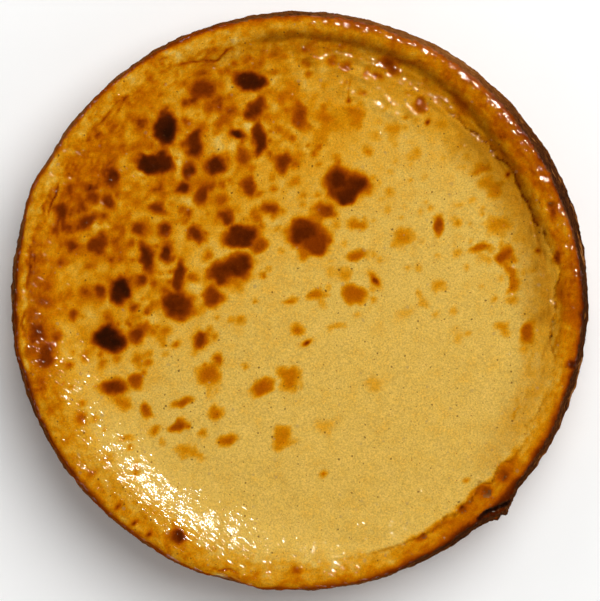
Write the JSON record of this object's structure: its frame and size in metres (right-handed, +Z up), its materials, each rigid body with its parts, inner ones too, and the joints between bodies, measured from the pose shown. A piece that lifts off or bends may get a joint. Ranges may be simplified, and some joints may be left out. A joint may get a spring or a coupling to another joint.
{
  "type": "cheesecake",
  "caption": "Whole round baked cheesecake with a raised uneven rim, a sunken top with browned blisters, and a straight browned side on a flat base.",
  "frame": {"origin": "middle of the flat base, on the surface the cheesecake stands on", "axes": "+Z up through the top; +X to the right and +Y to the top of the picture, which looks straight down"},
  "size_m": [0.2411, 0.2409, 0.0468],
  "materials": {
    "baked_custard": "satin baked custard skin, golden with brown blisters"
  },
  "bodies": {
    "root": {"cheesecake": "baked_custard"}
  },
  "joints": []
}
